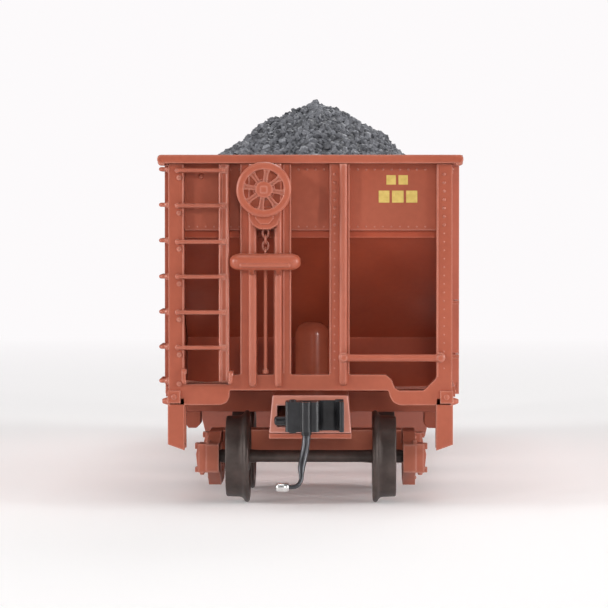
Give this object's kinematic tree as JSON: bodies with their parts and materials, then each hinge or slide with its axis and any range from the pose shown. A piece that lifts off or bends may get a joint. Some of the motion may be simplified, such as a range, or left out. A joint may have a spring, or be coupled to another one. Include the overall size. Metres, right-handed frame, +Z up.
{
  "type": "model hopper car",
  "caption": "HO scale open-top two-bay hopper car with a heaped coal load, ribbed sides, end frame with hand brake and ladders, swivelling trucks and knuckle couplers.",
  "frame": {"origin": "middle of the car, on the plane under the wheel flanges", "axes": "+Z up, +Y along the car away from the hand-brake end, +X to the right as seen from the hand-brake end"},
  "size_m": [0.0356, 0.1378, 0.0484],
  "materials": {
    "body_paint": "satin oxide red moulded and painted plastic",
    "truck_paint": "satin oxide red moulded plastic",
    "underframe_casting": "painted zinc die casting",
    "wheel_metal": "blackened brown turned metal",
    "coupler_black": "black cast metal",
    "pin_steel": "dark steel pin with a bright cut tip",
    "screw_metal": "blackened screw",
    "coal": "broken coal lumps, dull with small facets"
  },
  "bodies": {
    "root": {"side_left": "body_paint", "side_right": "body_paint", "end_sheet_b": "body_paint", "end_sheet_a": "body_paint", "slope_sheet_b": "body_paint", "slope_sheet_a": "body_paint", "end_frame_b": "body_paint", "end_frame_a": "body_paint", "hopper_bay_b": "body_paint", "hopper_bay_a": "body_paint", "door_b_left": "body_paint", "door_b_right": "body_paint", "door_a_left": "body_paint", "door_a_right": "body_paint", "centre_ridge": "body_paint", "end_ladder_b": "body_paint", "end_ladder_a": "body_paint", "side_ladder_b": "body_paint", "side_ladder_a": "body_paint", "end_grab_b": "body_paint", "end_grab_a": "body_paint", "brake_housing": "body_paint", "brake_chain": "body_paint", "brake_step": "body_paint", "brake_cylinder": "body_paint", "draft_box_b": "body_paint", "draft_box_a": "body_paint", "box_cover_b": "body_paint", "box_cover_a": "body_paint", "underframe": "underframe_casting", "box_screw_b": "screw_metal", "box_screw_a": "screw_metal", "kingpin_screw_b": "screw_metal", "kingpin_screw_a": "screw_metal"},
    "brake_wheel": {"brake_wheel": "body_paint"},
    "coal_load": {"coal_load": "coal"},
    "truck_b": {"truck_bolster_b": "truck_paint", "sideframe_b_left": "truck_paint", "sideframe_b_right": "truck_paint"},
    "wheelset_b1": {"axle_b1": "wheel_metal", "wheel_b1_left": "wheel_metal", "wheel_b1_right": "wheel_metal"},
    "wheelset_b2": {"axle_b2": "wheel_metal", "wheel_b2_left": "wheel_metal", "wheel_b2_right": "wheel_metal"},
    "coupler_b": {"coupler_b": "coupler_black", "trip_pin_b": "pin_steel"},
    "knuckle_b": {"knuckle_b": "coupler_black"},
    "truck_a": {"truck_bolster_a": "truck_paint", "sideframe_a_left": "truck_paint", "sideframe_a_right": "truck_paint"},
    "wheelset_a1": {"axle_a1": "wheel_metal", "wheel_a1_left": "wheel_metal", "wheel_a1_right": "wheel_metal"},
    "wheelset_a2": {"axle_a2": "wheel_metal", "wheel_a2_left": "wheel_metal", "wheel_a2_right": "wheel_metal"},
    "coupler_a": {"coupler_a": "coupler_black", "trip_pin_a": "pin_steel"},
    "knuckle_a": {"knuckle_a": "coupler_black"}
  },
  "joints": [
    {"name": "truck_b_swivel", "type": "hinge", "parent": "root", "child": "truck_b", "pos_m": [0, -0.0446, 0.01014], "axis": [0, 0, 1], "range_deg": [-8, 8]},
    {"name": "wheelset_b1_spin", "type": "hinge", "parent": "truck_b", "child": "wheelset_b1", "pos_m": [0, -0.0545, 0.00545], "axis": [1, 0, 0], "continuous": true},
    {"name": "wheelset_b2_spin", "type": "hinge", "parent": "truck_b", "child": "wheelset_b2", "pos_m": [0, -0.0347, 0.00545], "axis": [1, 0, 0], "continuous": true},
    {"name": "coupler_b_swing", "type": "hinge", "parent": "root", "child": "coupler_b", "pos_m": [0, -0.0545, 0.01064], "axis": [0, 0, 1], "range_deg": [-10, 10], "stiffness_Nm_per_rad": 0.0002},
    {"name": "knuckle_b_open", "type": "hinge", "parent": "coupler_b", "child": "knuckle_b", "pos_m": [-0.00195, -0.067, 0.01094], "axis": [0, 0, -1], "range_deg": [0, 25], "stiffness_Nm_per_rad": 0.0001},
    {"name": "truck_a_swivel", "type": "hinge", "parent": "root", "child": "truck_a", "pos_m": [0, 0.0446, 0.01014], "axis": [0, 0, 1], "range_deg": [-8, 8]},
    {"name": "wheelset_a1_spin", "type": "hinge", "parent": "truck_a", "child": "wheelset_a1", "pos_m": [0, 0.0545, 0.00545], "axis": [1, 0, 0], "continuous": true},
    {"name": "wheelset_a2_spin", "type": "hinge", "parent": "truck_a", "child": "wheelset_a2", "pos_m": [0, 0.0347, 0.00545], "axis": [1, 0, 0], "continuous": true},
    {"name": "coupler_a_swing", "type": "hinge", "parent": "root", "child": "coupler_a", "pos_m": [0, 0.0545, 0.01064], "axis": [0, 0, 1], "range_deg": [-10, 10], "stiffness_Nm_per_rad": 0.0002},
    {"name": "knuckle_a_open", "type": "hinge", "parent": "coupler_a", "child": "knuckle_a", "pos_m": [0.00195, 0.067, 0.01094], "axis": [0, 0, -1], "range_deg": [0, 25], "stiffness_Nm_per_rad": 0.0001},
    {"name": "brake_wheel_turn", "type": "hinge", "parent": "root", "child": "brake_wheel", "pos_m": [-0.00528, -0.066, 0.03699], "axis": [0, -1, 0], "continuous": true},
    {"name": "load_lift", "type": "slide", "parent": "root", "child": "coal_load", "axis": [0, 0, 1], "range_m": [0, 0.02]}
  ]
}
